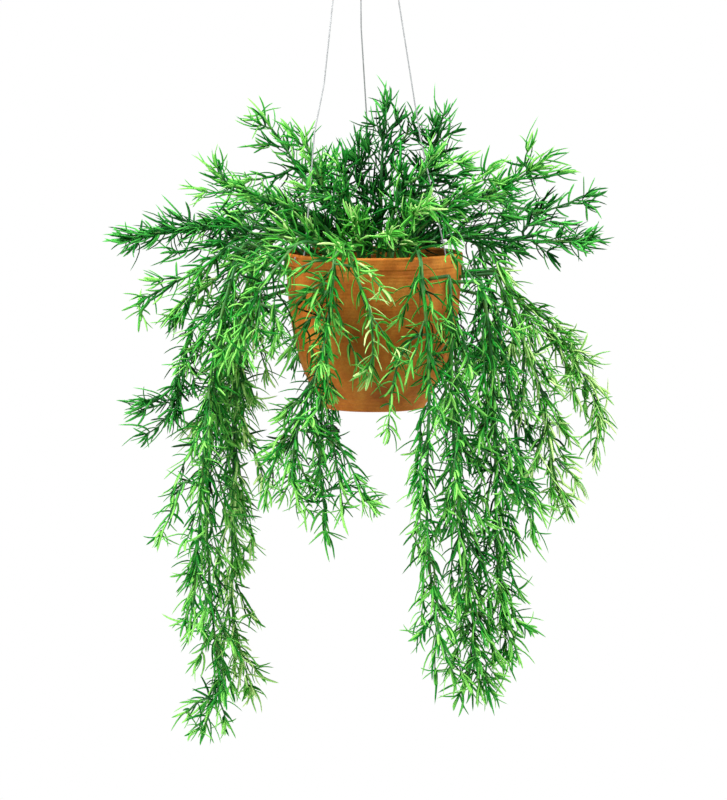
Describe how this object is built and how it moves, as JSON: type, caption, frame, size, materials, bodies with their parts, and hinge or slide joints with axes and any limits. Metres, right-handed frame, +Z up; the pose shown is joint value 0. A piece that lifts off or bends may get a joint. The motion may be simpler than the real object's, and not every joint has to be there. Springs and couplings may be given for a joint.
{
  "type": "potted asparagus fern",
  "caption": "Hanging terracotta pot of soil with a needle-leaved fern whose stems rise, arch over the rim and trail below, held by thin wires from a hook.",
  "frame": {"origin": "the inside of the hook's crown, where a rail or bracket carries the plant", "axes": "+Z up along the hanging height, +X to the right of the pictured view, +Y to the back"},
  "size_m": [0.4317, 0.3085, 0.8726],
  "materials": {
    "wire": "satin",
    "terracotta": "satin",
    "soil": "matte",
    "needles_dark": "satin",
    "needles_green": "satin",
    "needles_light": "satin"
  },
  "bodies": {
    "root": {"hook": "wire", "wire_left": "wire", "wire_back": "wire", "wire_right": "wire", "pot": "terracotta", "soil": "soil", "trail_left_back": "needles_dark", "arch_left_low": "needles_green", "trail_left_inner": "needles_light", "trail_left_outer": "needles_dark", "trail_left_long": "needles_green", "arch_left_front": "needles_green", "trail_left_front": "needles_green", "trail_front_left": "needles_green", "trail_front_middle": "needles_light", "trail_front_right": "needles_green", "trail_right_main": "needles_green", "trail_right_inner": "needles_green", "trail_right_mid": "needles_light", "trail_right_outer": "needles_light", "trail_right_back": "needles_dark", "trail_back_right": "needles_dark", "trail_back_long": "needles_dark", "trail_back_short": "needles_green", "trail_back_middle": "needles_green", "trail_back_left": "needles_dark", "trail_back_outer": "needles_green", "rise_middle": "needles_dark", "rise_right": "needles_dark", "rise_left": "needles_green", "rise_left_arch": "needles_light", "rise_centre_left": "needles_green", "rise_back": "needles_dark", "rise_front": "needles_green", "arch_right_high": "needles_green", "arch_right_front": "needles_green", "arch_left_high": "needles_green", "arch_left_level": "needles_dark", "arch_right_level": "needles_dark", "arch_right_low": "needles_dark", "arch_front_right": "needles_light", "arch_front": "needles_light", "arch_front_left": "needles_light", "arch_left_droop": "needles_light", "trail_left_near": "needles_green", "arch_back_left": "needles_green", "arch_back_right": "needles_green", "arch_back_outer": "needles_dark", "arch_back_low": "needles_dark", "arch_left_back": "needles_green"}
  },
  "joints": []
}
